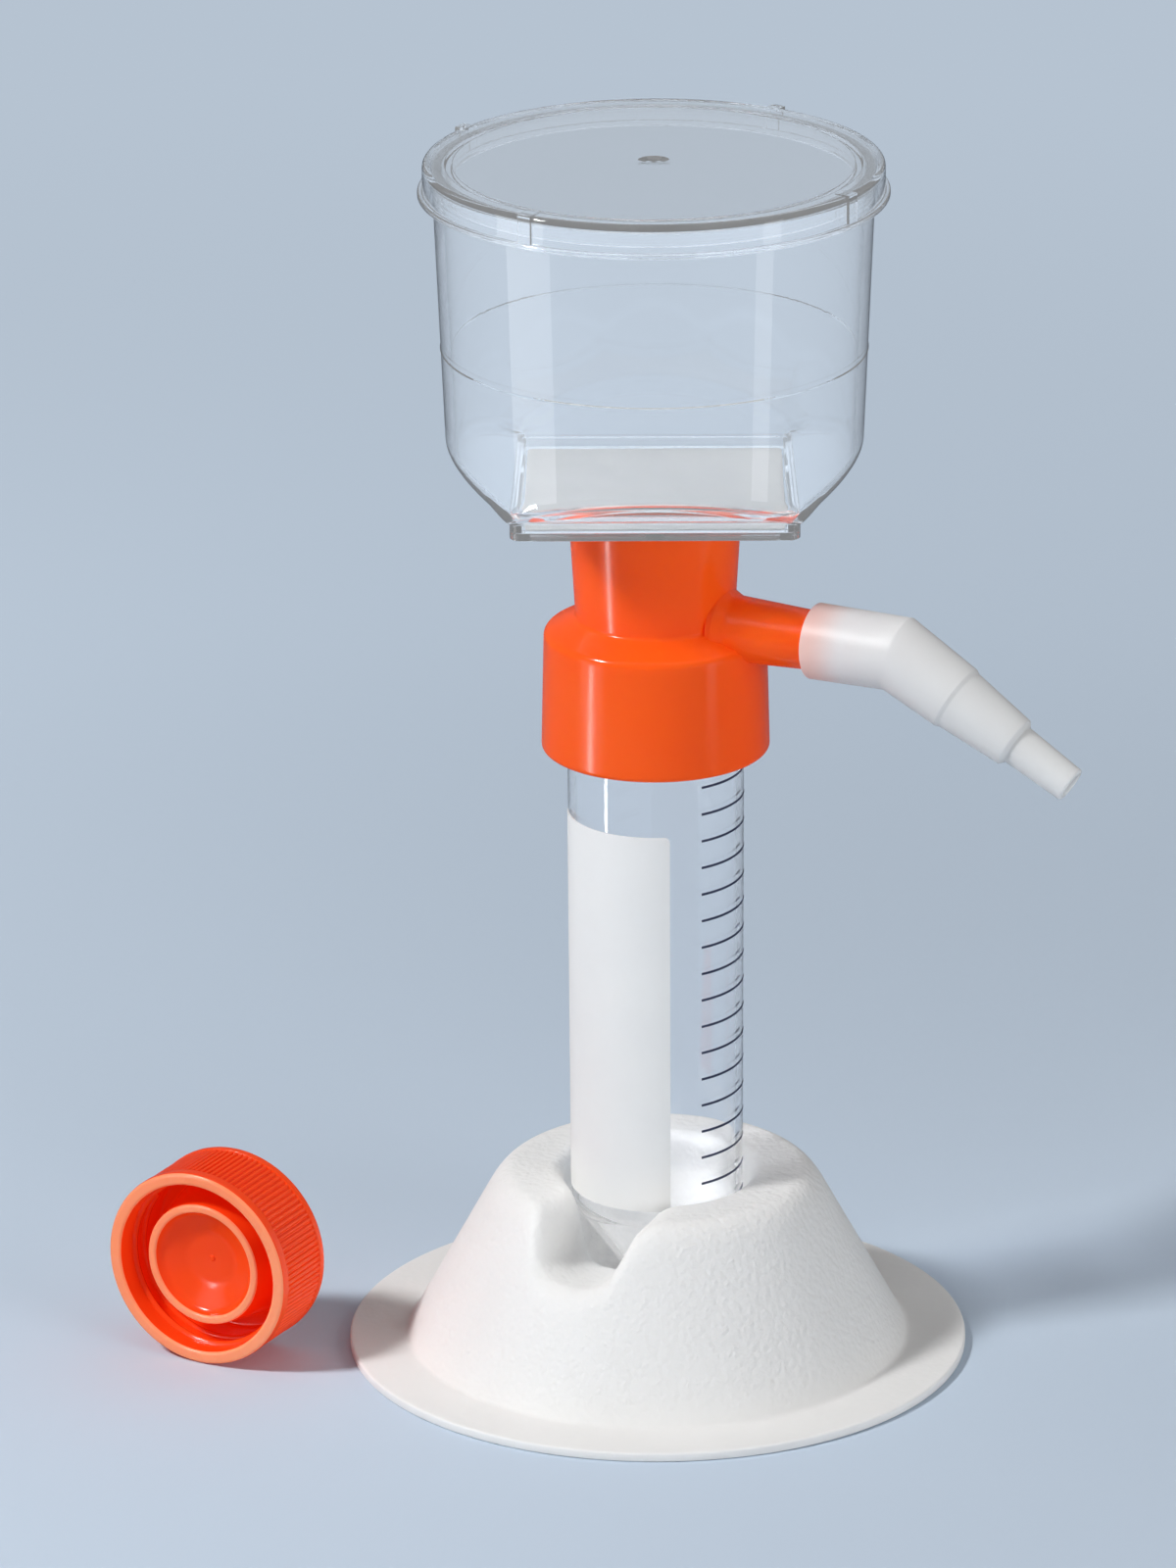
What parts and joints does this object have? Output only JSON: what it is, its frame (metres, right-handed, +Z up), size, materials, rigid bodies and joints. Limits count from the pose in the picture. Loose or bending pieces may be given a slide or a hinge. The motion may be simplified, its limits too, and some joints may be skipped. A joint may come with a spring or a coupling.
{
  "type": "vacuum filtration unit",
  "caption": "Tube-top vacuum filter: clear lidded funnel over a square membrane, threaded adapter with side arm and hose connector, conical tube in a moulded stand, tube cap beside it.",
  "frame": {"origin": "on the bench, under the middle of the whole set's width", "axes": "+Z up along the tube, -Y to the front, the side arm to +X and forward"},
  "size_m": [0.161, 0.104, 0.2068],
  "materials": {
    "stand": "white formed sheet with a fine pebbled texture",
    "orange_plastic": "glossy moulded orange",
    "clear_tube": "clear, slightly hazy",
    "white_print": "matt white ink",
    "clear_plastic": "polished clear",
    "membrane": "matt white filter sheet",
    "milky_plastic": "translucent milky white, satin"
  },
  "bodies": {
    "stand": {"stand": "stand", "tube_cap": "orange_plastic"},
    "tube": {"centrifuge_tube": "clear_tube", "writing_patch": "white_print"},
    "head": {"vacuum_adapter": "orange_plastic", "membrane_support": "clear_plastic", "membrane": "membrane", "funnel": "clear_plastic", "funnel_lid": "clear_plastic"},
    "connector": {"hose_connector": "milky_plastic"}
  },
  "joints": [
    {"name": "tube_turn", "type": "hinge", "parent": "stand", "child": "tube", "pos_m": [0.01164, 0, 0], "axis": [0, 0, -1], "range_deg": [0, 630]},
    {"name": "head_lift", "type": "slide", "parent": "stand", "child": "head", "axis": [0, 0, 1], "range_m": [0, 0.00525]},
    {"name": "connector_swivel", "type": "hinge", "parent": "head", "child": "connector", "pos_m": [0.01164, 0, 0.129], "axis": [0.8942, -0.4478, 0], "continuous": true}
  ],
  "couplings": [
    {"joint": "tube_turn", "follows": "head_lift", "rad_per_m": 2094.4}
  ]
}
